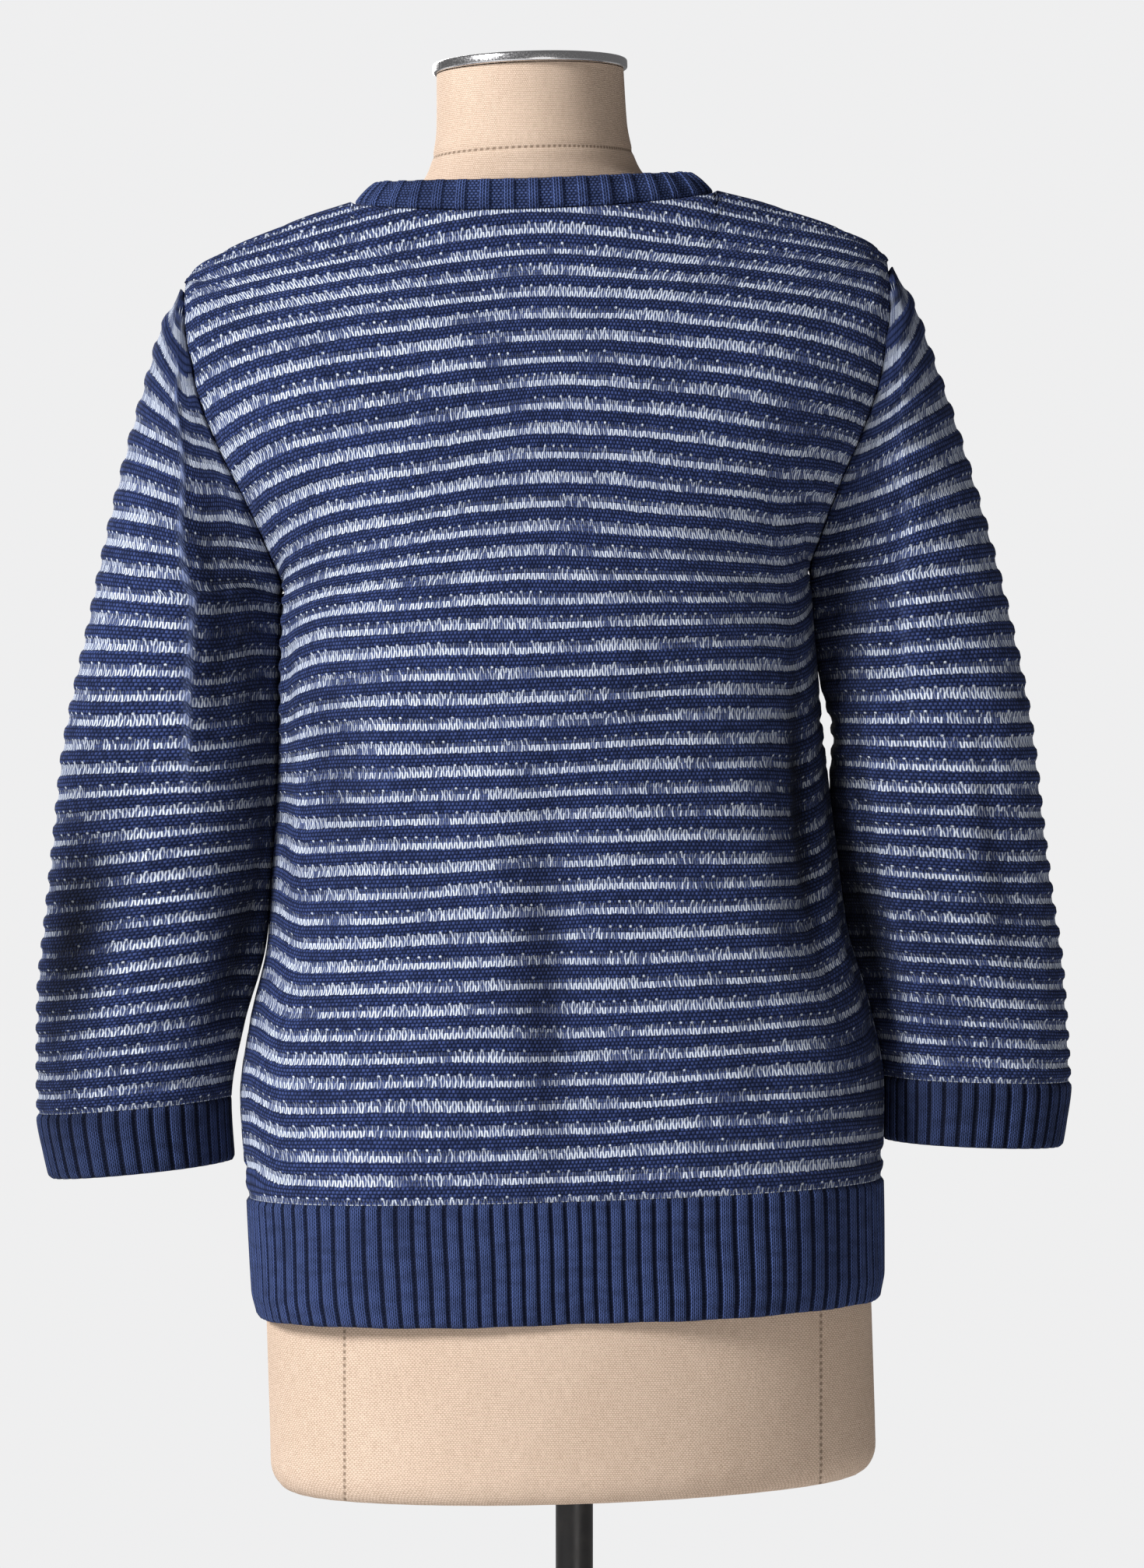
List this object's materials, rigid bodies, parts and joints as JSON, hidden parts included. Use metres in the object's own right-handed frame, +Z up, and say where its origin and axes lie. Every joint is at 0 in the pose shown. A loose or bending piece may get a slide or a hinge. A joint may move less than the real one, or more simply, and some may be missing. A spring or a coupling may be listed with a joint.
{
  "type": "cardigan on a dress form",
  "caption": "Long striped knitted cardigan with ribbed cuffs, hem and neckband, worn by a linen-covered limbless dress form on a pole and round base.",
  "frame": {"origin": "middle of the base's underside, on the pole's axis", "axes": "+Z up the pole, -Y the way the wearer faces, +X the wearer's left"},
  "size_m": [0.5974, 0.38, 1.4213],
  "materials": {
    "knit": "navy purl ridges over marled pale blue and white stripes",
    "rib": "navy ribbed knit",
    "button": "polished navy",
    "cover": "beige linen weave",
    "cap": "polished",
    "stand": "black satin"
  },
  "bodies": {
    "root": {"base": "stand", "pole": "stand", "form_body": "cover", "neck_cap": "cap", "back": "knit", "front_left": "knit", "front_right": "knit", "sleeve_left": "knit", "sleeve_right": "knit", "cuff_left": "rib", "cuff_right": "rib", "hem_rib_back": "rib", "hem_rib_front_left": "rib", "hem_rib_front_right": "rib", "neckband": "rib", "band_left": "rib", "band_right": "rib", "button_1": "button", "button_2": "button", "button_3": "button", "button_4": "button", "button_5": "button", "button_6": "button", "button_7": "button"}
  },
  "joints": []
}
